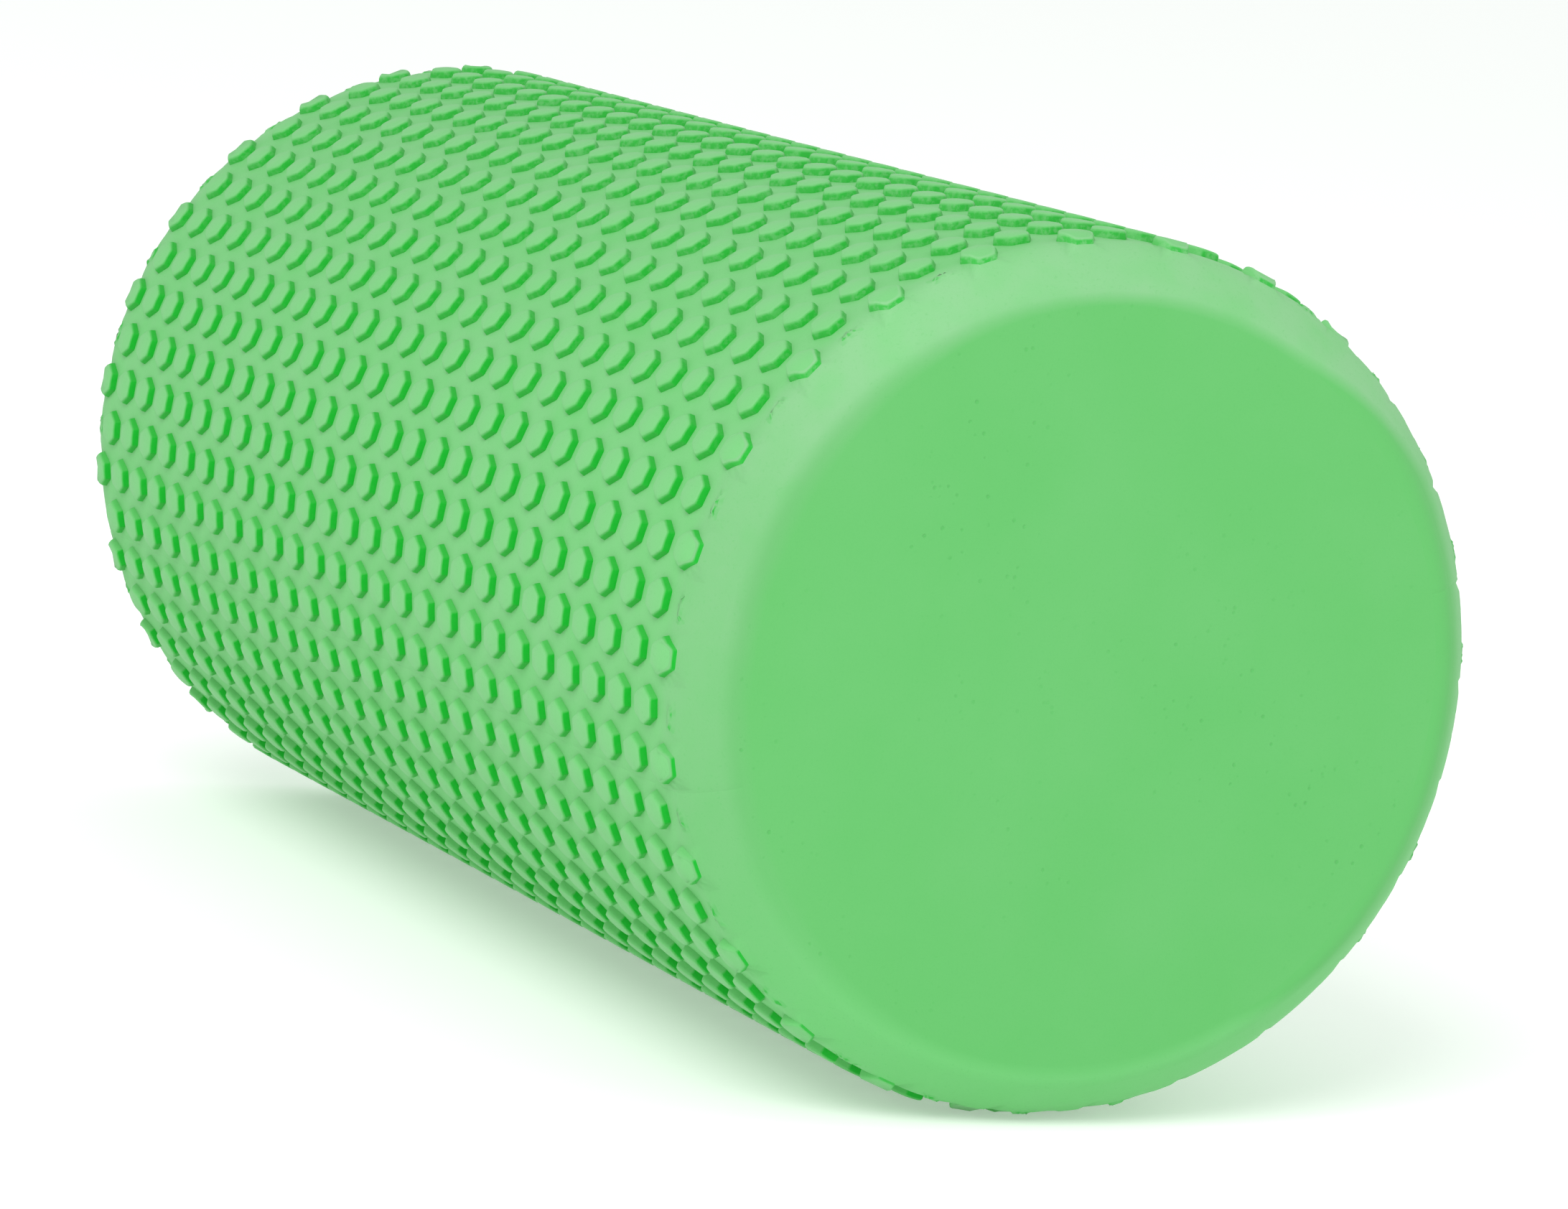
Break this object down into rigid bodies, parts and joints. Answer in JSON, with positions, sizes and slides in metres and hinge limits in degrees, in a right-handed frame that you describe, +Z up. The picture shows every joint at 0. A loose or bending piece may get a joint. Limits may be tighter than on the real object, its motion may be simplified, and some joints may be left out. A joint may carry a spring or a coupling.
{
  "type": "foam massage roller",
  "caption": "Solid foam massage roller: a short cylinder covered in low hexagonal studs, with smooth sloping shoulders and flat ends.",
  "frame": {"origin": "middle of the roller's axis, at half its length", "axes": "+Y along the roller's axis, +Z up with the roller lying on its side on the floor"},
  "size_m": [0.15, 0.3, 0.15],
  "materials": {
    "skin_foam": "matte closed-cell foam with a moulded skin",
    "core_foam": "matte closed-cell foam with fine open pores"
  },
  "bodies": {
    "root": {"foam_core": "core_foam", "upper_skin": "skin_foam", "lower_skin": "skin_foam"}
  },
  "joints": []
}
